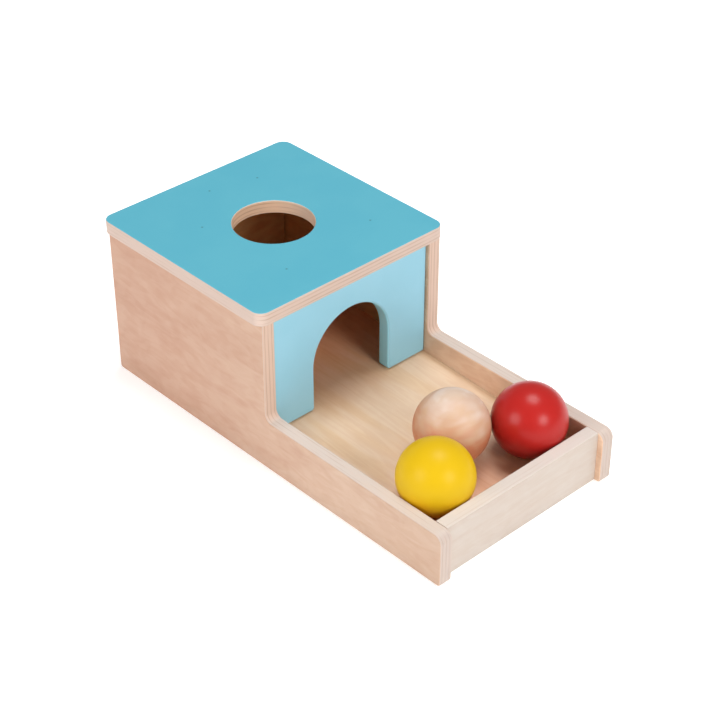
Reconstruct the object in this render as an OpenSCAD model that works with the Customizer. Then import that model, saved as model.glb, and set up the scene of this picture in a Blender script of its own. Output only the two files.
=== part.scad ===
// Object permanence box in plywood, with three wooden balls.
// A ball posted through the hole in the lid rolls down the sloping floor,
// out through the arched doorway, and comes to rest in the tray.
// +Z is up and the tray is at the front, towards -Y. The origin is on the
// ground, under the middle of the whole object. Sizes are in millimetres.

/* [Plywood panels] */
// Thickness of the sheet that every panel but the floor is cut from
sheet_t = 9; // [8:0.5:12]
// Width over the outer faces of the side panels
box_w = 140; // [130:1:160]
// Length of the side panels, from the tray's front end to the back
side_len = 283; // [270:1:310]
// Height of the side panels at the box
side_h = 99; // [94:1:115]
// Depth of the box, which is the tall part of the side panels
box_depth = 141; // [130:1:150]
// Height of the tray walls and of the front rail
wall_h = 34; // [30:1:40]
// Radius of the inner curve where the box front meets the tray wall
notch_r = 5; // [2:0.5:10]
// Radius of the tray walls' top front corner
wall_corner_r = 5.5; // [2:0.5:10]
// Radius of the side panels' two bottom corners
bottom_corner_r = 2; // [1:0.5:6]
// Radius that eases the arrises of the panels
arris_r = 0.8; // [0.4:0.1:1.5]

/* [Lid] */
// How far the lid stands past each side panel
lid_side_over = 2.5; // [1:0.5:5]
// How far the lid stands past the front edge of the box
lid_front_over = 1.5; // [0.5:0.5:2.5]
// How far the lid stands past the back
lid_back_over = 3; // [1:0.5:5]
// Radius of the lid's four corners
lid_corner_r = 7; // [3:0.5:15]
// How much wider than a ball the hole in the lid is
hole_play = 5; // [3:0.5:8]

/* [Arched doorway] */
// How far the arch panel is set back from the front edge of the box
arch_recess = 2; // [1:0.5:8]
// How much wider than a ball the doorway is
door_play = 15; // [8:0.5:20]
// Height of the arch panel over the doorway
arch_bridge = 19; // [14:0.5:22]
// Gap round the arch panel, at the side panels and under its feet
arch_gap = 0.3; // [0.1:0.1:0.6]
// Radius of the corners of its feet, beside the doorway
foot_corner_r = 2; // [0.5:0.5:4]

/* [Floor and rail] */
// Slope of the floor, down towards the tray, in degrees
floor_slope = 2.5; // [1:0.25:3.5]
// Height of the floor's top at the front face of the arch panel
floor_z = 20; // [18:0.5:24]
// Thickness of the floor
floor_t = 5; // [3:0.5:6]
// Depth of the grooves that hold the floor in the side panels
groove_depth = 3; // [2:0.5:4]
// Gap between the floor and the walls of its grooves
groove_gap = 0.1; // [0.05:0.05:0.3]
// How far the front rail is set back from the ends of the side panels
rail_recess = 4; // [2:0.5:8]

/* [Balls] */
// Diameter of each ball
ball_d = 45; // [42:0.5:48]
// Gap between a ball and what it rests on or against
rest_gap = 0.3; // [0.2:0.1:0.6]
// Gap between the red ball and the wall beside it
red_wall_gap = 1; // [0.3:0.1:3]

/* [Dowels] */
// Diameter of a dowel
dowel_d = 5; // [4:0.5:6]
// Length of a dowel
dowel_len = 20; // [16:1:24]
// How deep a dowel sits in the face of the panel that covers the joint
dowel_face_depth = 6; // [4:0.5:7]
// Radial gap between a dowel and its hole
dowel_gap = 0.05; // [0.02:0.01:0.1]
// Gap left past each end of a dowel, for glue
dowel_end_gap = 0.5; // [0.3:0.1:1]
// Bevel on the ends of a dowel
dowel_bevel = 0.6; // [0.3:0.1:1]

/* [Hidden] */

$fn = 96;
// How far a cut runs past the face that it opens
overrun = 1;

// Finishes, as they look from a step away
veneer_colour = "#E6C2A0";
rail_colour = "#E8DACB";
floor_colour = "#E3C79B";
lid_colour = "#62BBCF";
arch_colour = "#98C8D6";
yellow_colour = "#F0CC28";
red_colour = "#C82820";
natural_colour = "#EBCBAF";
dowel_colour = "#D9B583";

// Places along the box, front to back
overall_len = side_len + lid_back_over;
front_y = -overall_len / 2;
back_y = front_y + side_len;
box_front_y = back_y - box_depth;
arch_y = box_front_y + arch_recess;
back_inner_y = back_y - sheet_t;
rail_y = front_y + rail_recess;
rail_inner_y = rail_y + sheet_t;

// Places across the box
inner_half_w = box_w / 2 - sheet_t;

// Lid and its hole
lid_w = box_w + 2 * lid_side_over;
lid_len = box_depth + lid_front_over + lid_back_over;
lid_front_y = box_front_y - lid_front_over;
hole_r = (ball_d + hole_play) / 2;
hole_y = box_front_y + box_depth / 2;

// Arch panel and its doorway
arch_w = 2 * (inner_half_w - arch_gap);
arch_foot_z = floor_top(arch_y + sheet_t) + arch_gap;
door_r = (ball_d + door_play) / 2;
door_spring_z = side_h - arch_bridge - door_r;

// Places of the dowels, as shares of the edge that they join
lid_dowel_shares = [0.15, 0.85];
arch_dowel_shares = [0.25, 0.75];
back_dowel_shares = [0.15, 0.5, 0.85];
rail_dowel_shares = [0.25, 0.75];
lid_dowel_x = box_w / 2 - sheet_t / 2;

// Balls at rest in the tray. The natural ball nests behind the other two,
// or drops between them onto the rail where the balls are small enough.
ball_r = ball_d / 2;
front_ball_y = rail_inner_y + ball_r + rest_gap;
yellow_ball_x = -inner_half_w + ball_r + rest_gap;
red_ball_x = inner_half_w - ball_r - red_wall_gap;
natural_ball_x = (yellow_ball_x + red_ball_x) / 2;
ball_pitch = ball_d + rest_gap;
half_spread = (red_ball_x - yellow_ball_x) / 2;
nest_reach = sqrt(max(0, ball_pitch * ball_pitch - half_spread * half_spread));
natural_ball_y = front_ball_y + nest_reach * cos(floor_slope);

// Height of the floor's top face at a place along the box
function floor_top(y) = floor_z + (y - arch_y) * tan(floor_slope);

// Height of the centre of a ball that rests on the floor at a place along the box
function ball_centre_z(y) = floor_top(y) + (ball_r + rest_gap) / cos(floor_slope);

// Height at a share of the way up from one level to another
function height_at(share, low, high) = low + share * (high - low);

// Rectangle with its lowest corner at the origin and round corners
module rounded_rectangle(width, height, radius) {
  translate([radius, 0]) square([width - 2 * radius, height]);
  translate([0, radius]) square([width, height - 2 * radius]);
  for (x = [radius, width - radius])
    for (y = [radius, height - radius])
      translate([x, y]) circle(radius);
}

// Straight strip along X with the cross-section of its children, drawn in Y and Z
module along_x(length) {
  translate([-length / 2, 0, 0])
    rotate([90, 0, 90]) linear_extrude(length) children();
}

// Half of the cut for an opening with eased rims, drawn from its middle line
// outwards: past the wall it keeps the sheet's rounded edge
module opening_half_profile(radius) {
  difference() {
    translate([0, -overrun]) square([radius + arris_r, sheet_t + 2 * overrun]);
    translate([radius, arris_r]) square([arris_r + overrun, sheet_t - 2 * arris_r]);
    for (depth = [arris_r, sheet_t - arris_r])
      translate([radius + arris_r, depth]) circle(arris_r);
  }
}

// Round opening through a sheet, standing on the sheet's lower face
module round_opening(radius) {
  rotate_extrude() opening_half_profile(radius);
}

// Section of what is eased off an arris, which lies at the origin with the
// sheet below it and to its left
module arris_section() {
  difference() {
    translate([-arris_r, -arris_r]) square(arris_r + overrun);
    translate([-arris_r, -arris_r]) circle(arris_r);
  }
}

// Cut along a straight arris of an outline drawn in X and Y: from a start
// point, on a heading in degrees, with the sheet to the left
module ease_run(start, heading, length) {
  translate(start) rotate([0, 0, heading])
    rotate([90, 0, 90]) linear_extrude(length) mirror([1, 0, 0]) arris_section();
}

// Cut round a quarter turn of an outline, outside a round corner
module ease_corner(centre, start_angle, radius) {
  translate(centre) rotate([0, 0, start_angle])
    rotate_extrude(angle = 90) translate([radius, 0]) arris_section();
}

// Cut round a quarter turn of an outline, inside a hollow curve
module ease_hollow(centre, start_angle, radius) {
  translate(centre) rotate([0, 0, start_angle])
    rotate_extrude(angle = 90) translate([radius, 0]) mirror([1, 0, 0]) arris_section();
}

// All the arrises of a side panel's face, run by run from the bottom edge
module side_arrises() {
  low_r = bottom_corner_r;
  top_r = wall_corner_r;
  tray_len = side_len - box_depth;
  ease_run([front_y + low_r, 0], 0, side_len - 2 * low_r);
  ease_corner([back_y - low_r, low_r], -90, low_r);
  ease_run([back_y, low_r], 90, side_h - low_r + overrun);
  ease_run([box_front_y, side_h + overrun], -90, side_h + overrun - wall_h - notch_r);
  ease_hollow([box_front_y - notch_r, wall_h + notch_r], -90, notch_r);
  ease_run([box_front_y - notch_r, wall_h], 180, tray_len - notch_r - top_r);
  ease_corner([front_y + top_r, wall_h - top_r], 90, top_r);
  ease_run([front_y, wall_h - top_r], -90, wall_h - top_r - low_r);
  ease_corner([front_y + low_r, low_r], 180, low_r);
}

// What is cut from an outline to round a corner: along and up are -1 or 1,
// from the round's centre towards the corner
module corner_cut(centre, along, up, radius) {
  reach = radius + overrun;
  translate(centre)
    difference() {
      translate([min(along, 0) * reach, min(up, 0) * reach]) square(reach);
      circle(radius);
    }
}

// Outline of a side panel in Y and Z: the tall box, the low tray wall,
// and the curve between them
module side_outline() {
  low_r = bottom_corner_r;
  top_r = wall_corner_r;
  difference() {
    union() {
      translate([box_front_y, 0]) square([box_depth, side_h]);
      translate([front_y, 0]) square([side_len - box_depth + overrun, wall_h]);
      translate([box_front_y - notch_r, wall_h]) square([notch_r + overrun, notch_r]);
    }
    translate([box_front_y - notch_r, wall_h + notch_r]) circle(notch_r);
    corner_cut([front_y + top_r, wall_h - top_r], -1, 1, top_r);
    corner_cut([front_y + low_r, low_r], -1, -1, low_r);
    corner_cut([back_y - low_r, low_r], 1, -1, low_r);
  }
}

// Outline of the floor in Y and Z, widened by a gap above and below
module floor_outline(front, back, gap) {
  polygon([[front, floor_top(front) - floor_t - gap], [back, floor_top(back) - floor_t - gap],
           [back, floor_top(back) + gap], [front, floor_top(front) + gap]]);
}

// One dowel along Z, with its seat in the covering panel's face above the origin
module dowel() {
  translate([0, 0, dowel_face_depth - dowel_len])
    rotate_extrude()
      polygon([[0, 0], [dowel_d / 2 - dowel_bevel, 0], [dowel_d / 2, dowel_bevel],
               [dowel_d / 2, dowel_len - dowel_bevel],
               [dowel_d / 2 - dowel_bevel, dowel_len], [0, dowel_len]]);
}

// The drilled hole for one dowel, through both panels of the joint
module dowel_hole() {
  translate([0, 0, dowel_face_depth - dowel_len - dowel_end_gap])
    cylinder(r = dowel_d / 2 + dowel_gap, h = dowel_len + 2 * dowel_end_gap);
}

// Places of the dowels between the side panels and a panel that stands between them
module at_cross_dowels(y, heights) {
  for (side = [-1, 1])
    for (z = heights)
      translate([side * inner_half_w, y, z]) rotate([0, side * 90, 0]) children();
}

module at_arch_dowels() {
  at_cross_dowels(arch_y + sheet_t / 2,
                  [for (s = arch_dowel_shares) height_at(s, arch_foot_z, side_h)]) children();
}

module at_back_dowels() {
  at_cross_dowels(back_y - sheet_t / 2,
                  [for (s = back_dowel_shares) height_at(s, 0, side_h)]) children();
}

module at_rail_dowels() {
  at_cross_dowels(rail_y + sheet_t / 2,
                  [for (s = rail_dowel_shares) height_at(s, 0, wall_h)]) children();
}

module at_lid_dowels() {
  for (side = [-1, 1])
    for (s = lid_dowel_shares)
      translate([side * lid_dowel_x, box_front_y + s * box_depth, side_h]) children();
}

// A side panel with its sloping groove for the floor and its dowel holes.
// side is -1 for the left panel and 1 for the right one.
module side_panel(side) {
  difference() {
    translate([side * (box_w - sheet_t) / 2, 0, 0]) {
      difference() {
        along_x(sheet_t) side_outline();
        for (face = [0, 1])
          mirror([face, 0, 0])
            translate([sheet_t / 2, 0, 0]) rotate([90, 0, 90]) side_arrises();
      }
    }
    translate([side * inner_half_w, 0, 0])
      along_x(2 * groove_depth) floor_outline(rail_inner_y, back_inner_y, groove_gap);
    at_rail_dowels() dowel_hole();
    at_arch_dowels() dowel_hole();
    at_back_dowels() dowel_hole();
    at_lid_dowels() dowel_hole();
  }
}

module left_side_panel() {
  color(veneer_colour) side_panel(-1);
}

module right_side_panel() {
  color(veneer_colour) side_panel(1);
}

// Edge of the lid in section, from inside the corner radius to the rounded arrises
module lid_edge_profile() {
  square([lid_corner_r - arris_r, sheet_t]);
  translate([0, arris_r]) square([lid_corner_r, sheet_t - 2 * arris_r]);
  for (z = [arris_r, sheet_t - arris_r])
    translate([lid_corner_r - arris_r, z]) circle(arris_r);
}

// The lid's blank, centred on its own middle: a slab with a strip along each
// edge and a turned quarter at each corner, all of one section
module lid_blank() {
  core_w = lid_w - 2 * lid_corner_r;
  core_len = lid_len - 2 * lid_corner_r;
  translate([-core_w / 2, -core_len / 2, 0]) cube([core_w, core_len, sheet_t]);
  for (end = [0, 1])
    rotate([0, 0, end * 180]) {
      translate([core_w / 2, core_len / 2, 0])
        rotate([90, 0, 0]) linear_extrude(core_len) lid_edge_profile();
      translate([-core_w / 2, core_len / 2, 0])
        rotate([90, 0, 90]) linear_extrude(core_w) lid_edge_profile();
      translate([core_w / 2, core_len / 2, 0])
        rotate_extrude(angle = 90) lid_edge_profile();
      translate([-core_w / 2, core_len / 2, 0])
        rotate([0, 0, 90]) rotate_extrude(angle = 90) lid_edge_profile();
    }
}

module lid_panel() {
  color(lid_colour)
    difference() {
      translate([0, lid_front_y + lid_len / 2, side_h]) lid_blank();
      translate([0, hole_y, side_h]) round_opening(hole_r);
      at_lid_dowels() dowel_hole();
    }
}

// The doorway's cut: straight jambs that turn into a half-round crown
module doorway() {
  translate([0, arch_y + sheet_t, door_spring_z]) {
    rotate([90, 0, 0]) round_opening(door_r);
    for (side = [0, 1])
      mirror([side, 0, 0])
        translate([0, 0, -door_spring_z])
          mirror([0, 1, 0]) linear_extrude(door_spring_z) opening_half_profile(door_r);
  }
}

// What is cut from the lower corner of each foot, beside the doorway
module foot_corners() {
  for (side = [0, 1])
    mirror([side, 0, 0])
      translate([door_r, arch_y + sheet_t + overrun, arch_foot_z])
        rotate([90, 0, 0]) linear_extrude(sheet_t + 2 * overrun)
          corner_cut([foot_corner_r, foot_corner_r], -1, -1, foot_corner_r);
}

module arch_panel() {
  color(arch_colour)
    difference() {
      translate([-arch_w / 2, arch_y, arch_foot_z])
        linear_extrude(side_h - arch_foot_z) rounded_rectangle(arch_w, sheet_t, arris_r);
      doorway();
      foot_corners();
      at_arch_dowels() dowel_hole();
    }
}

module back_panel() {
  color(veneer_colour)
    difference() {
      translate([-inner_half_w, back_inner_y, 0])
        linear_extrude(side_h) rounded_rectangle(2 * inner_half_w, sheet_t, arris_r);
      at_back_dowels() dowel_hole();
    }
}

module floor_panel() {
  color(floor_colour)
    along_x(2 * (inner_half_w + groove_depth - groove_gap))
      floor_outline(rail_inner_y + groove_gap, back_inner_y - groove_gap, 0);
}

module front_rail() {
  color(rail_colour)
    difference() {
      along_x(2 * inner_half_w)
        translate([rail_y, 0]) rounded_rectangle(sheet_t, wall_h, arris_r);
      at_rail_dowels() dowel_hole();
    }
}

// A ball that rests on the floor at a place across and along the box
module ball(x, y) {
  translate([x, y, ball_centre_z(y)]) sphere(ball_r);
}

module yellow_ball() {
  color(yellow_colour) ball(yellow_ball_x, front_ball_y);
}

module red_ball() {
  color(red_colour) ball(red_ball_x, front_ball_y);
}

module natural_ball() {
  color(natural_colour) ball(natural_ball_x, natural_ball_y);
}

module lid_dowels() {
  color(dowel_colour) at_lid_dowels() dowel();
}

module arch_dowels() {
  color(dowel_colour) at_arch_dowels() dowel();
}

module back_dowels() {
  color(dowel_colour) at_back_dowels() dowel();
}

module rail_dowels() {
  color(dowel_colour) at_rail_dowels() dowel();
}

left_side_panel();
right_side_panel();
lid_panel();
arch_panel();
back_panel();
floor_panel();
front_rail();
yellow_ball();
red_ball();
natural_ball();
lid_dowels();
arch_dowels();
back_dowels();
rail_dowels();
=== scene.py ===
import math

import bmesh
import bpy
from mathutils import Matrix, Vector


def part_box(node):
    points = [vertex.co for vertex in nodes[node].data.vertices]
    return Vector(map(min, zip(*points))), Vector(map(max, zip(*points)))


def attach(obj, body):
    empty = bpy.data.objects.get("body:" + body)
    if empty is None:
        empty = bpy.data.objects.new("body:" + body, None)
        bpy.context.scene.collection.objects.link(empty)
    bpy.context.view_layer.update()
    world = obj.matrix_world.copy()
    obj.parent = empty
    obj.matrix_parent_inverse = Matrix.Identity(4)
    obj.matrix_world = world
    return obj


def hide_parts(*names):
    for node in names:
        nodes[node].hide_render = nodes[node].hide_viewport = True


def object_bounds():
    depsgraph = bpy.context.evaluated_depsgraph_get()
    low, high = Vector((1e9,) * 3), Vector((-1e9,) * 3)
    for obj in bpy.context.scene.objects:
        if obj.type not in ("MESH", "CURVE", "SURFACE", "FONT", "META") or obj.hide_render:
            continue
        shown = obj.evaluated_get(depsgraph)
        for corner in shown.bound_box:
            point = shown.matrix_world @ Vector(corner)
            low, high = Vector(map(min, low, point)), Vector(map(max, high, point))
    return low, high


# Looks of the object permanence box: plywood panels, a painted lid and arch, and three wooden balls.
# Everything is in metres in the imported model's own frame, with +Z up and the tray towards -Y.
# The panels are cut again here, with finer arrises, and the floor, balls and dowels keep their shape.

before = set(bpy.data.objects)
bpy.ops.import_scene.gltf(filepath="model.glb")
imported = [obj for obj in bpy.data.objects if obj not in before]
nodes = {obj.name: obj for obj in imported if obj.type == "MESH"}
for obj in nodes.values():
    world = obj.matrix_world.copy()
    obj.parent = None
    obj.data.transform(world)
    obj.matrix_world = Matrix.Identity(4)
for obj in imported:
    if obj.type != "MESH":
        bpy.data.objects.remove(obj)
cad_low, cad_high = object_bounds()

MM = 0.001
X_AXIS, Y_AXIS, Z_AXIS = Vector((1, 0, 0)), Vector((0, 1, 0)), Vector((0, 0, 1))

# Sizes of the joinery, in metres
SHEET = 9 * MM           # plywood of every panel but the floor
PLIES = 7                # plies in it, so a ply is about 1.3 mm
ARRIS = 0.8 * MM         # radius that sanding leaves on an arris
ARRIS_STEPS = 4
ARCH_ARRIS = 1.5 * MM    # the painted arch panel's arrises are softer
LAP = 0.7                # a face's finish laps onto its arris down to this share of the normal
SMOOTH_BEND = math.radians(35)  # surfaces that meet at less than this shade as one
CORNER_STEPS = 25        # steps round a rounded corner, which also set the steps round the lid's hole
TRAY_WALL = 34 * MM      # height of the tray walls
NOTCH_R = 5 * MM         # hollow curve where the box front meets the tray wall
WALL_CORNER_R = 5.5 * MM  # top front corner of the tray walls
BOTTOM_CORNER_R = 2 * MM  # both bottom corners of the sides
FOOT_CORNER_R = 2 * MM   # lower corners of the arch panel's feet, beside the doorway
LID_CORNER_R = 7 * MM
HOLE_R = 25 * MM         # round hole in the lid
DOOR_R = 30 * MM         # half the doorway's width, and the radius of its crown
DOOR_CROWN = 80 * MM     # height of the crown above the ground
BOX_FRONT = -1 * MM      # front edge of the box's tall sides
BALL_R = 22.5 * MM
WELD = 0.001 * MM        # vertices closer than this are one

# Sizes of the finishes, in millimetres
PLY = SHEET / MM / PLIES
PLY_SWAY = 0.6           # how far the plies stray from their even depths
FIBRE = 1.4              # a veneer's fibres are far finer, and are drawn this wide to show
FIBRE_END = 0.5          # so are the ends that show on a ply edge
PORE = 1.5               # and the dowels' pores
TRAY_END = (-110, -60)   # where along Y the edges stop being as pale as the tray's end
SPECK_SPACING = 50       # dust in the lid's paint
SPECK_SOLID_R = 0.36     # a speck is solid to here
SPECK_RIM_R = 0.96       # and its soft rim ends here

# A panel's finishes, in this order
EDGE, LOWER_FACE, UPPER_FACE, HOLE_WALL = range(4)

# Studio, in metres and degrees
FLOOR_GAP = 0.05 * MM    # between the object and the floor
FLOOR_R = 8.0
FLOOR_GLOW = 0.4         # strength of the light that comes through the floor
HORIZON_GLOW = 0.9       # strength of the light from around, low down
SKY_GLOW = 0.28          # and higher up
SKY_HEIGHT = 0.15        # sine of the elevation where the horizon's glow has sunk to the sky's
SOFTBOX_DISTANCE = 2.3
CAMERA_TARGET = Vector((-4.07, -10.11, 50)) * MM
CAMERA_DISTANCE = 1072.3 * MM
CAMERA_AZIMUTH, CAMERA_ELEVATION = -43.11, 35.05
CAMERA_LENS, CAMERA_SENSOR = 91.51, 36  # in millimetres


# Colours and nodes

def linear(hex_colour):
    """Linear RGBA of an sRGB colour such as #62BBCF."""
    channels = [int(hex_colour[i:i + 2], 16) / 255 for i in (1, 3, 5)]
    return [c / 12.92 if c <= 0.04045 else ((c + 0.055) / 1.055) ** 2.4 for c in channels] + [1.0]


def add(tree, kind, inputs=None, stops=(), **settings):
    """Adds a shader node with its settings. An input takes a number, a hex colour, another node
    (its first output) or a socket. stops are a colour ramp's (place, hex colour) pairs."""
    node = tree.nodes.new("ShaderNode" + kind)
    for name, value in settings.items():
        setattr(node, name, value)
    for name, value in (inputs or {}).items():
        if isinstance(value, bpy.types.Node):
            value = value.outputs[0]
        if isinstance(value, bpy.types.NodeSocket):
            tree.links.new(value, node.inputs[name])
        else:
            node.inputs[name].default_value = linear(value) if isinstance(value, str) else value
    for i, (place, colour) in enumerate(stops):
        elements = node.color_ramp.elements
        element = elements[i] if i < 2 else elements.new(place)
        element.position = place
        element.color = linear(colour)
    return node


def start_material(name, surface, centre=(0, 0, 0)):
    """Material whose principled shader has the sockets in surface set. Returns it, its tree, the shader,
    and the object's coordinates in millimetres from a centre that is given in metres."""
    material = bpy.data.materials.new(name)
    material.use_nodes = True
    tree = material.node_tree
    tree.nodes.clear()
    shader = add(tree, "BsdfPrincipled", surface)
    add(tree, "OutputMaterial", {"Surface": shader})
    coordinates = add(tree, "TexCoord")
    place = add(tree, "Mapping", {"Vector": coordinates.outputs["Object"], "Scale": (1 / MM,) * 3,
                                  "Location": [-c / MM for c in centre]})
    return material, tree, shader, place


def figure(tree, place, size, seed, detail=2.0, distortion=0.0):
    """Noise from 0 to 1 whose features are about size millimetres long in X, Y and Z."""
    shrunk = add(tree, "Mapping", {"Vector": place, "Location": (seed, seed, seed),
                                   "Scale": [1 / s for s in size]})
    return add(tree, "TexNoise", {"Vector": shrunk, "Scale": 1.0, "Detail": detail,
                                  "Distortion": distortion})


def drawn_out(axis, along, across):
    """Size of a figure that is one length along an axis and another across it."""
    return [along if i == axis else across for i in range(3)]


def lay_over(tree, tone, colour, amount, low, high, strength, blend="MIX"):
    """Lays a colour over a tone, from nothing where amount is low up to a strength where it is high."""
    cover = add(tree, "MapRange", {"Value": amount, "From Min": low, "From Max": high,
                                   "To Min": 0.0, "To Max": strength}, interpolation_type="SMOOTHSTEP")
    return add(tree, "MixRGB", {"Fac": cover, "Color1": tone, "Color2": colour}, blend_type=blend)


def finish_material(tree, shader, tone, relief=None, strength=0.0, depth=0.0):
    """Gives a shader its tone, and a relief that is depth metres deep and shows with a strength."""
    tree.links.new(tone.outputs[0], shader.inputs["Base Color"])
    if relief:
        bump = add(tree, "Bump", {"Height": relief, "Strength": strength, "Distance": depth})
        tree.links.new(bump.outputs[0], shader.inputs["Normal"])


# Woods

def birch_veneer(name, grain, cloud, sap, painted_light_along_y, seed, cloudy="#F0E2DA", figured=0.4, mottled=0.3):
    """Rotary-cut birch face veneer, sanded, under a clear satin lacquer. The eye sees soft clouds and
    waves drawn out along the grain, hardly any fibres, and a soft mottle with a few darker flecks. grain
    is the axis it runs along, and cloud the clouds' length and width in millimetres. sap is the wood's
    colour, and painted_light_along_y lists the painted light and shade that it turns to along Y: a
    colour, with where each turn starts and ends. cloudy is the clouds' tint, and figured and mottled say
    how strongly the drawn-out and the mottled figure show."""
    surface = {"Roughness": 0.5, "Coat Weight": 0.1, "Coat Roughness": 0.35}
    material, tree, shader, place = start_material(name, surface)

    def along_grain(length, width, shift, **settings):
        """Figure drawn out along the grain, with its length and width in millimetres."""
        return figure(tree, place, drawn_out(grain, length, width), seed + shift, **settings)

    length, width = cloud
    clouds = along_grain(length, width, 0, detail=1, distortion=1.0)
    waves = along_grain(length / 2, width / 3, 9, detail=1, distortion=1.5)
    fibres = along_grain(length, FIBRE, 3)
    mottle = along_grain(12, 7, 7, detail=1, distortion=0.6)
    flecks = along_grain(4, 1.6, 13, detail=1)

    towards_back = add(tree, "SeparateXYZ", {"Vector": place}).outputs["Y"]
    tone = sap
    # Painted light and shade, laid over the wood's colour along Y
    for painted_light, start, end in painted_light_along_y:
        tone = lay_over(tree, tone, painted_light, towards_back, start, end, 1.0)
    for amount, low, high, tint, strength in ((clouds, 0.38, 0.64, cloudy, figured),
                                              (waves, 0.4, 0.64, "#F2E6DC", figured),
                                              (fibres, 0.4, 0.7, "#F0E4DC", figured / 4),
                                              (mottle, 0.4, 0.64, "#F0E2D8", mottled),
                                              (flecks, 0.62, 0.8, "#E0C8B8", mottled / 2)):
        tone = lay_over(tree, tone, tint, amount, low, high, strength, "MULTIPLY")
    finish_material(tree, shader, tone, fibres, strength=0.06, depth=0.1 * MM)
    return material


def ply_edge(name, axis, face, pale, end, tan, dark, rim, seed):
    """Sanded edge of 9 mm birch plywood. The eye sees seven plies of 1.3 mm, of which the second, fourth
    and sixth are darker where their fibres end and fade in and out, most of all on edges that face the
    front, and a pale arris. axis crosses the plies, and face is how far along it the sheet's outer face
    lies from the origin. pale is the colour of edges that face up or sideways, tan of those that face
    the front at the box, and end of those at the tray, which is sanded paler. dark is the dark plies'
    colour, and rim the arris's."""
    material, tree, shader, place = start_material(name, {"Roughness": 0.6})
    coordinates = add(tree, "SeparateXYZ", {"Vector": place})
    towards_back = coordinates.outputs["Y"]
    along_axis = add(tree, "Math", {0: coordinates.outputs[axis]}, operation="ABSOLUTE")
    inwards = add(tree, "Math", {0: along_axis, 1: face / MM}, operation="SUBTRACT")
    depth = add(tree, "Math", {0: inwards}, operation="ABSOLUTE")

    normal = add(tree, "SeparateXYZ", {"Vector": add(tree, "TexCoord").outputs["Normal"]})
    facing = add(tree, "Math", {0: normal.outputs["Y"]}, operation="ABSOLUTE")
    frontal = lay_over(tree, end, tan, towards_back, *TRAY_END, 1.0)
    streaks = figure(tree, place, drawn_out(axis, FIBRE_END, 9), seed, detail=3)
    tone = lay_over(tree, pale, frontal, facing, 0.0, 0.9, 1.0)
    tone = lay_over(tree, tone, tan, streaks, 0.4, 0.7, 0.3)

    # Crosswise is 1 in the middle of the dark plies and 0 in the middle of the others
    sway = figure(tree, place, (30, 30, 30), seed + 3, detail=1)
    swayed = add(tree, "Math", {0: sway, 1: PLY_SWAY, 2: depth}, operation="MULTIPLY_ADD")
    ply = add(tree, "Math", {0: swayed, 1: 1 / PLY, 2: -0.7}, operation="MULTIPLY_ADD")
    crosswise = add(tree, "Math", {0: ply, 1: 1.0}, operation="PINGPONG")

    # The dark plies fade in and out, and show most on edges that face the front, above all at the box
    fade = figure(tree, place, drawn_out(axis, 1.5, 24), seed + 5, detail=1)
    bared = add(tree, "MapRange", {"Value": towards_back, "From Min": TRAY_END[0],
                                   "From Max": TRAY_END[1], "To Min": 0.25, "To Max": 0.4})
    frontness = add(tree, "Math", {0: facing, 1: 0.4}, operation="MAXIMUM")
    shown = add(tree, "Math", {0: frontness, 1: bared, 2: fade}, operation="MULTIPLY_ADD")
    darkness = add(tree, "Math", {0: crosswise, 1: shown}, operation="MULTIPLY")
    tone = lay_over(tree, tone, dark, darkness, 0.45, 0.95, 0.45)

    off_centre = add(tree, "Math", {0: depth, 1: SHEET / MM / 2}, operation="SUBTRACT")
    to_face = add(tree, "Math", {0: off_centre}, operation="ABSOLUTE")
    tone = lay_over(tree, tone, rim, to_face, (SHEET / 2 - ARRIS) / MM, (SHEET / 2 - ARRIS / 2) / MM, 1.0)
    finish_material(tree, shader, tone, streaks, strength=0.1, depth=0.1 * MM)
    return material


def turned_birch(name, centre, painted_light, pale, mid, deep, patch, seed):
    """Turned and sanded birch ball with a clear matt finish. Its colour carries painted light and shade:
    pale on the side that painted_light points to, turning mid and then deep away from it, mixed with its
    real blotches. The eye also sees soft patches and faint growth lines."""
    material, tree, shader, place = start_material(name, {"Roughness": 0.5}, centre)
    blotches = figure(tree, place, (20, 12, 8), seed, detail=1, distortion=0.3)
    towards = add(tree, "VectorMath", {0: place, 1: painted_light}, operation="DOT_PRODUCT").outputs["Value"]

    # The way towards the painted light, from -1 to 1, and the real blotches count alike in the painted
    # light and shade
    painted_light_share = add(tree, "Math", {0: towards, 1: 0.8 * MM / BALL_R, 2: -0.27}, operation="MULTIPLY_ADD")
    paleness_with_painted_light = add(tree, "Math", {0: blotches, 1: 0.8, 2: painted_light_share}, operation="MULTIPLY_ADD")
    tone = add(tree, "ValToRGB", {"Fac": paleness_with_painted_light}, stops=[(0.15, deep), (0.55, mid), (0.9, pale)])
    patches = figure(tree, place, (9, 6, 5), seed + 7, detail=1, distortion=0.2)
    tone = lay_over(tree, tone, patch, patches, 0.42, 0.72, 0.35)
    lines = figure(tree, place, (14, 14, 1.2), seed + 4, detail=2, distortion=0.3)
    tone = lay_over(tree, tone, deep, lines, 0.5, 0.8, 0.1)
    finish_material(tree, shader, tone, lines, strength=0.05, depth=0.1 * MM)
    return material


def beech_dowel(name, pale, deep, seed):
    """Plain beech dowel rod, rolled smooth. The eye sees pale wood with fine darker pores."""
    material, tree, shader, place = start_material(name, {"Roughness": 0.6})
    pores = figure(tree, place, (PORE, PORE, PORE), seed, detail=3)
    tone = add(tree, "ValToRGB", {"Fac": pores}, stops=[(0.3, deep), (0.7, pale)])
    finish_material(tree, shader, tone)
    return material


# Paints and lacquers

DUST = "#3F6C74"


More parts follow.
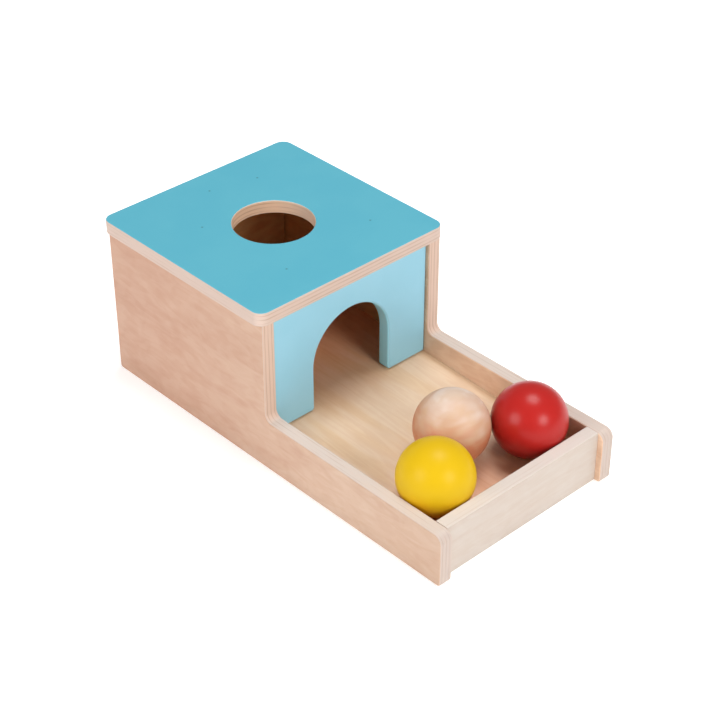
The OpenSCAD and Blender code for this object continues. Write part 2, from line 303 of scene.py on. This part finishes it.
def satin_paint(name, colour, cooler, specks, seed):
    """Water-based satin paint, sprayed over plywood. The eye sees an even colour that drifts a little
    cooler in places, a faint orange peel, and a few specks of dust. specks is how strongly they show."""
    material, tree, shader, place = start_material(name, {"Roughness": 0.5, "Specular IOR Level": 0.3})
    drift = figure(tree, place, (30, 30, 30), seed, detail=3)
    tone = lay_over(tree, colour, cooler, drift, 0.35, 0.65, 1.0)
    cells = add(tree, "Mapping", {"Vector": place, "Scale": (1 / SPECK_SPACING,) * 3})
    off_speck = add(tree, "TexVoronoi", {"Vector": cells, "Scale": 1.0}, voronoi_dimensions="2D")
    tone = lay_over(tree, tone, DUST, off_speck, SPECK_RIM_R / SPECK_SPACING,
                    SPECK_SOLID_R / SPECK_SPACING, specks)
    peel = figure(tree, place, (1.1, 1.1, 1.1), seed + 2, detail=1)
    finish_material(tree, shader, tone, peel, strength=0.12, depth=0.03 * MM)
    return material


def ball_lacquer(name, centre, colour, deep, gloss, rough, seed):
    """Coloured nitrocellulose lacquer on a turned ball that was dipped and hung. The eye sees a soft
    gloss with a slight orange peel. Towards its underside the colour turns to deep, which is painted
    light and
    shade: the light that the ball's underside gets from around it. gloss is its specular level and rough
    its roughness."""
    surface = {"Roughness": rough, "Specular IOR Level": gloss}
    material, tree, shader, place = start_material(name, surface, centre)
    drift = figure(tree, place, (12, 12, 12), seed, detail=1)
    height = add(tree, "SeparateXYZ", {"Vector": place}).outputs["Z"]

    # Below is -1 at the ball's top and 1 underneath
    below = add(tree, "Math", {0: height, 1: -MM / BALL_R}, operation="MULTIPLY")
    # Painted light and shade underneath, with a little drift
    painted_light_below = add(tree, "Math", {0: drift, 1: 0.4, 2: below}, operation="MULTIPLY_ADD")
    tone = lay_over(tree, colour, deep, painted_light_below, 0.0, 1.0, 1.0)
    peel = figure(tree, place, (1.6, 1.6, 1.6), seed + 4, detail=1)
    finish_material(tree, shader, tone, peel, strength=0.1, depth=0.03 * MM)
    return material


# Panels

def saw_panel(corners, bottom, top, hole=None):
    """Mesh of a panel that lies flat between two heights: a face through the corners, each a point and
    a radius, rounded and then extruded. hole is the centre and radius of a round opening."""
    bm = bmesh.new()
    verts = [bm.verts.new((*point, bottom)) for point, radius in corners]
    bm.faces.new(verts)
    for vert, (point, radius) in zip(verts, corners):
        if radius:
            bmesh.ops.bevel(bm, geom=[vert], affect="VERTICES", offset=radius, segments=CORNER_STEPS,
                            profile=0.5, material=-1)
    bmesh.ops.remove_doubles(bm, verts=bm.verts, dist=WELD)
    if hole:
        # The face gives way to a ring, which needs as many steps round the hole as round the outline
        centre, radius = hole
        bmesh.ops.delete(bm, geom=bm.faces[:], context="FACES_KEEP_BOUNDARY")
        bmesh.ops.create_circle(bm, segments=len(bm.verts), radius=radius,
                                matrix=Matrix.Translation((*centre, bottom)))
        bmesh.ops.bridge_loops(bm, edges=bm.edges[:])
    raised = bmesh.ops.extrude_face_region(bm, geom=bm.faces[:])["geom"]
    bmesh.ops.translate(bm, verts=[g for g in raised if isinstance(g, bmesh.types.BMVert)],
                        vec=(0, 0, top - bottom))
    bmesh.ops.recalc_face_normals(bm, faces=bm.faces[:])
    return bm


def ease_arrises(bm, stays_sharp, radius=ARRIS):
    """Rounds a flat panel's arrises to a radius, apart from those that stays_sharp picks by their middle
    and their direction."""
    arrises = []
    for edge in bm.edges:
        a, b = (vert.co for vert in edge.verts)
        on_face = [abs(face.normal.z) > 0.9 for face in edge.link_faces]
        if any(on_face) and not all(on_face) and not stays_sharp((a + b) / 2, (b - a).normalized()):
            arrises.append(edge)
    bmesh.ops.bevel(bm, geom=arrises, affect="EDGES", offset=radius, segments=ARRIS_STEPS, profile=0.5,
                    material=-1)


def finish_panel(name, node, bm, across, up, finishes, let_in):
    """Stands a flat panel with its X along across and its Y along up, and puts it in the node's place.
    finishes are the edge's, lower and upper face's, and any others that the panel uses. let_in names
    the nodes that are let into it, whose seats are cut."""
    for face in bm.faces:
        face.smooth = True
        rise = face.normal.z
        face.material_index = LOWER_FACE if rise < -LAP else UPPER_FACE if rise > LAP else EDGE
    turn = Matrix((across, up, across.cross(up))).transposed().to_4x4()
    bmesh.ops.transform(bm, matrix=turn, verts=bm.verts)
    mesh = bpy.data.meshes.new(name)
    bm.to_mesh(mesh)
    bm.free()
    for finish in finishes:
        mesh.materials.append(finish)
    piece = bpy.data.objects.new(name, mesh)
    bpy.context.scene.collection.objects.link(piece)
    for seat in let_in:
        cut_seat(piece, seat)
    bm = bmesh.new()
    bm.from_mesh(piece.data)
    for edge in bm.edges:
        edge.smooth = edge.calc_face_angle(0) < SMOOTH_BEND
    bm.to_mesh(piece.data)
    bm.free()

    # The large faces keep their own shading, and the arrises take up the bend
    weighted = piece.modifiers.new("weighted_normals", "WEIGHTED_NORMAL")
    weighted.keep_sharp = True
    weighted.weight = 100
    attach(piece, "box")
    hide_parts(node)
    return piece


def cut_seat(piece, node):
    """Cuts out of a piece the space that a glued-in node fills. A node's mesh is loose triangles, which
    are merged first."""
    bm = bmesh.new()
    bm.from_mesh(nodes[node].data)
    bmesh.ops.remove_doubles(bm, verts=bm.verts, dist=WELD)
    cutter = bpy.data.objects.new("cutter", bpy.data.meshes.new("cutter"))
    bm.to_mesh(cutter.data)
    bm.free()
    bpy.context.scene.collection.objects.link(cutter)
    cut = piece.modifiers.new("seat", "BOOLEAN")
    cut.operation = "DIFFERENCE"
    cut.solver = "EXACT"
    cut.object = cutter
    depsgraph = bpy.context.evaluated_depsgraph_get()
    seated = bpy.data.meshes.new_from_object(piece.evaluated_get(depsgraph))
    piece.modifiers.clear()
    piece.data = seated
    bpy.data.objects.remove(cutter)


def side_panel(name, node, finishes):
    """L-shaped side: the tall box and the low tray wall in one, with the floor's groove in it."""
    low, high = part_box(node)
    corners = [((low.y, 0), BOTTOM_CORNER_R), ((high.y, 0), BOTTOM_CORNER_R), ((high.y, high.z), 0),
               ((BOX_FRONT, high.z), 0), ((BOX_FRONT, TRAY_WALL), NOTCH_R),
               ((low.y, TRAY_WALL), WALL_CORNER_R)]
    bm = saw_panel(corners, low.x, high.x)
    ease_arrises(bm, lambda middle, run: middle.y > high.z - WELD)
    return finish_panel(name, node, bm, Y_AXIS, Z_AXIS, finishes,
                        ["floor_panel", "rail_dowels", "arch_dowels", "back_dowels", "lid_dowels"])


def lid(name, node, finishes):
    """Square lid with round corners and the round hole that the balls are posted through. Its fourth
    finish is the wall of the hole."""
    low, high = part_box(node)
    box_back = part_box("back_panel")[1].y
    hole = (((low.x + high.x) / 2, (BOX_FRONT + box_back) / 2), HOLE_R)
    corners = [((x, y), LID_CORNER_R) for x, y in
               ((low.x, low.y), (high.x, low.y), (high.x, high.y), (low.x, high.y))]
    bm = saw_panel(corners, low.z, high.z, hole)
    ease_arrises(bm, lambda middle, run: False)
    piece = finish_panel(name, node, bm, X_AXIS, Y_AXIS, finishes, ["lid_dowels"])
    for polygon in piece.data.polygons:
        off_axis = (polygon.center.xy - Vector(hole[0])).length
        if polygon.material_index == EDGE and off_axis < HOLE_R + ARRIS:
            polygon.material_index = HOLE_WALL
    return piece


def arch(name, node, finishes):
    """Front of the box: straight jambs that turn into a half-round crown over the doorway."""
    low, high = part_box(node)
    corners = [((low.x, low.z), 0), ((-DOOR_R, low.z), FOOT_CORNER_R), ((-DOOR_R, DOOR_CROWN), DOOR_R),
               ((DOOR_R, DOOR_CROWN), DOOR_R), ((DOOR_R, low.z), FOOT_CORNER_R), ((high.x, low.z), 0),
               ((high.x, high.z), 0), ((low.x, high.z), 0)]
    bm = saw_panel(corners, -high.y, -low.y)
    ease_arrises(bm, lambda middle, run: middle.y > high.z - WELD, ARCH_ARRIS)
    return finish_panel(name, node, bm, X_AXIS, Z_AXIS, finishes, ["arch_dowels"])


def plain_board(name, node, finishes, eased_along, let_in):
    """Rectangular board across the box. Only the arrises that run along one direction are eased: the
    flat board's X, which is its length, or its Y, which stands upright. let_in is as in finish_panel."""
    low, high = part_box(node)
    corners = [((x, z), 0) for x, z in
               ((low.x, low.z), (high.x, low.z), (high.x, high.z), (low.x, high.z))]
    bm = saw_panel(corners, -high.y, -low.y)
    ease_arrises(bm, lambda middle, run: abs(run.dot(eased_along)) < 0.5)
    return finish_panel(name, node, bm, X_AXIS, Z_AXIS, finishes, let_in)


# Finishes of the panels

INSIDE_PAINTED_SHADE = "#CFA26D"       # painted shade inside the box: a darker, warmer wood colour where its inside lies in shade
SIDE_PLIES = {"pale": "#D2C3B8", "end": "#C1B1A7", "tan": "#D7BBA9", "dark": "#A47C5E", "rim": "#C9B2A4"}

# The outside veneer turns darker towards the back, which is painted shade; the inside veneer, the lid's
# underside and the back's inner face turn to the painted shade inside the box
outer_veneer = birch_veneer("birch_veneer_outside", 1, (50, 20), "#CAAD96", [("#C09880", -120, 120)],
                            seed=2, figured=0.37, mottled=0.24)
inner_veneer = birch_veneer("birch_veneer_inside", 1, (50, 20), "#ECC9AC", [(INSIDE_PAINTED_SHADE, -10, 40)], seed=9)
cross_veneer = birch_veneer("birch_veneer_crosswise", 0, (50, 20), "#DBBBA4", [(INSIDE_PAINTED_SHADE, -20, -10)],
                            seed=23)
back_veneer = birch_veneer("birch_veneer_back", 0, (50, 20), "#C8A68E", [], seed=31, figured=0.35)
rail_veneer = birch_veneer("birch_veneer_rail", 0, (60, 12), "#C7BBB0", [], seed=41, figured=0.2,
                           mottled=0.15)
turquoise = satin_paint("satin_paint_turquoise", "#5AADC0", "#57ABBF", specks=0.7, seed=1)
pale_blue = satin_paint("satin_paint_pale_blue", "#98CFE3", "#95CDE1", specks=0.0, seed=5)
# A brighter, bluer copy of the pale blue paint for the arch's edges, arrises and doorway reveal: painted
# light against the shade that falls there
edge_blue_painted_light = satin_paint("satin_paint_pale_blue_painted_light_edges", "#A6EAFF", "#A2E8FD", specks=0.0, seed=5)
side_edge = ply_edge("birch_ply_edge_sides", 0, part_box("right_side_panel")[1].x, seed=4, **SIDE_PLIES)
lid_edge = ply_edge("birch_ply_edge_lid", 2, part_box("lid_panel")[1].z, pale="#C6B0A3", end="#C6B0A3",
                    tan="#D1BAAC", dark="#A47C5E", rim="#C8B4A8", seed=6)
hole_edge = ply_edge("birch_ply_edge_hole", 2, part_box("lid_panel")[1].z, pale="#E0C6B0", end="#E0C6B0",
                     tan="#E6C2A4", dark="#A06B44", rim="#DCC8B6", seed=15)
back_edge = ply_edge("birch_ply_edge_back", 1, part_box("back_panel")[1].y, seed=12, **SIDE_PLIES)
rail_edge = ply_edge("birch_ply_edge_rail", 1, -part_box("front_rail")[0].y, pale="#D7CCC3",
                     end="#CABEB3", tan="#D4C6BA", dark="#BDA28C", rim="#D6CAC0", seed=19)

left = side_panel("left_side_plywood", "left_side_panel", [side_edge, outer_veneer, inner_veneer])
right = side_panel("right_side_plywood", "right_side_panel", [side_edge, inner_veneer, outer_veneer])
top = lid("lid_plywood", "lid_panel", [lid_edge, cross_veneer, turquoise, hole_edge])
front = arch("arch_plywood", "arch_panel", [edge_blue_painted_light, pale_blue, pale_blue])
back = plain_board("back_plywood", "back_panel", [back_edge, back_veneer, cross_veneer], Y_AXIS,
                   ["back_dowels"])
rail = plain_board("rail_plywood", "front_rail", [rail_edge, rail_veneer, rail_veneer], X_AXIS,
                   ["rail_dowels"])


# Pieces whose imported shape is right, and their finishes

def centre_of(node):
    """Middle of a node's box."""
    low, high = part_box(node)
    return (low + high) / 2


beech = beech_dowel("beech_dowel", "#E2C194", "#C99D68", seed=3)
finishes = {
    # The floor turns darker and browner inside the box, which is painted shade, and warmer at the tray's
    # front, which is painted bounce light from the balls
    "floor_panel": birch_veneer("birch_veneer_floor", 1, (120, 14), "#E7CCAF",
                                [("#E4A076", -25, 60), ("#F2C4A6", -75, -105)], seed=52, cloudy="#F6E6C4",
                                figured=0.35, mottled=0.12),
    # deep is painted light under each ball: a warm orange bounce under the yellow one, painted shade
    # under the red one
    "yellow_ball": ball_lacquer("lacquer_yellow", centre_of("yellow_ball"), "#D8B016", "#ECAA1A",
                                gloss=0.11, rough=0.34, seed=3),
    "red_ball": ball_lacquer("lacquer_red", centre_of("red_ball"), "#B2231F", "#941918", gloss=0.22,
                             rough=0.28, seed=8),
    # The natural ball's painted light comes from nearly straight above
    "natural_ball": turned_birch("turned_birch", centre_of("natural_ball"), (0.07, -0.15, 0.99),
                                 pale="#DAC4B4", mid="#CBA284", deep="#C8805C", patch="#CEA882", seed=2),
    "lid_dowels": beech,
    "arch_dowels": beech,
    "back_dowels": beech,
    "rail_dowels": beech,
}
for node, finish in finishes.items():
    nodes[node].data.materials.clear()
    nodes[node].data.materials.append(finish)


# Studio

def studio_floor():
    """Wide sheet of opal white acrylic that the object stands on, lit softly from below."""
    bm = bmesh.new()
    bmesh.ops.create_circle(bm, cap_ends=True, segments=64, radius=FLOOR_R,
                            matrix=Matrix.Translation((0, 0, cad_low.z - FLOOR_GAP)))
    mesh = bpy.data.meshes.new("studio_floor")
    bm.to_mesh(mesh)
    bm.free()
    floor = bpy.data.objects.new("studio_floor", mesh)
    bpy.context.scene.collection.objects.link(floor)
    surface = {"Roughness": 0.8, "Emission Color": "#FFFFFF", "Emission Strength": FLOOR_GLOW}
    acrylic, tree, shader, place = start_material("opal_acrylic", surface)
    mottle = figure(tree, place, (40, 40, 40), 0, detail=3)
    tone = lay_over(tree, "#F4F4F4", "#F1F1F1", mottle, 0.4, 0.6, 1.0)
    finish_material(tree, shader, tone)
    mesh.materials.append(acrylic)


def view_direction(azimuth, elevation):
    """Direction towards a viewpoint: azimuth 0 is in front of the object and -90 on its left."""
    azimuth, elevation = math.radians(azimuth), math.radians(elevation)
    return Vector((math.sin(azimuth) * math.cos(elevation), -math.cos(azimuth) * math.cos(elevation),
                   math.sin(elevation)))


def aim(thing, target, direction, distance):
    """Puts a lamp or camera at a distance from the target and turns it to face it."""
    thing.location = target + direction * distance
    thing.rotation_euler = direction.to_track_quat("Z", "Y").to_euler()
    bpy.context.scene.collection.objects.link(thing)


def softbox(name, azimuth, elevation, width, power):
    """Round softbox that lights the middle of the object, with its width in metres and power in watts."""
    lamp = bpy.data.lights.new(name, "AREA")
    lamp.shape = "DISK"
    lamp.size = width
    lamp.energy = power
    aim(bpy.data.objects.new(name, lamp), (cad_low + cad_high) / 2, view_direction(azimuth, elevation),
        SOFTBOX_DISTANCE)


def surroundings():
    """White light from all around, strongest near the horizon."""
    world = bpy.data.worlds.new("studio")
    world.use_nodes = True
    tree = world.node_tree
    background = tree.nodes["Background"]
    background.inputs["Color"].default_value = linear("#FFFFFF")
    height = add(tree, "SeparateXYZ", {"Vector": add(tree, "TexCoord").outputs["Generated"]}).outputs["Z"]
    glow = add(tree, "MapRange", {"Value": height, "From Max": SKY_HEIGHT, "To Min": HORIZON_GLOW,
                                  "To Max": SKY_GLOW})
    tree.links.new(glow.outputs[0], background.inputs["Strength"])
    bpy.context.scene.world = world


def photo_camera():
    """Camera that sees the object as the photograph does."""
    camera = bpy.data.objects.new("camera", bpy.data.cameras.new("camera"))
    camera.data.lens = CAMERA_LENS
    camera.data.sensor_width = CAMERA_SENSOR
    aim(camera, CAMERA_TARGET, view_direction(CAMERA_AZIMUTH, CAMERA_ELEVATION), CAMERA_DISTANCE)
    bpy.context.scene.camera = camera


studio_floor()
softbox("top_softbox", 88, 78, 1.15, 30)
softbox("left_softbox", -96, 26, 1.3, 23)
softbox("front_softbox", -1, 27, 1.0, 24.5)
surroundings()
photo_camera()
bpy.context.scene.view_settings.view_transform = "Standard"
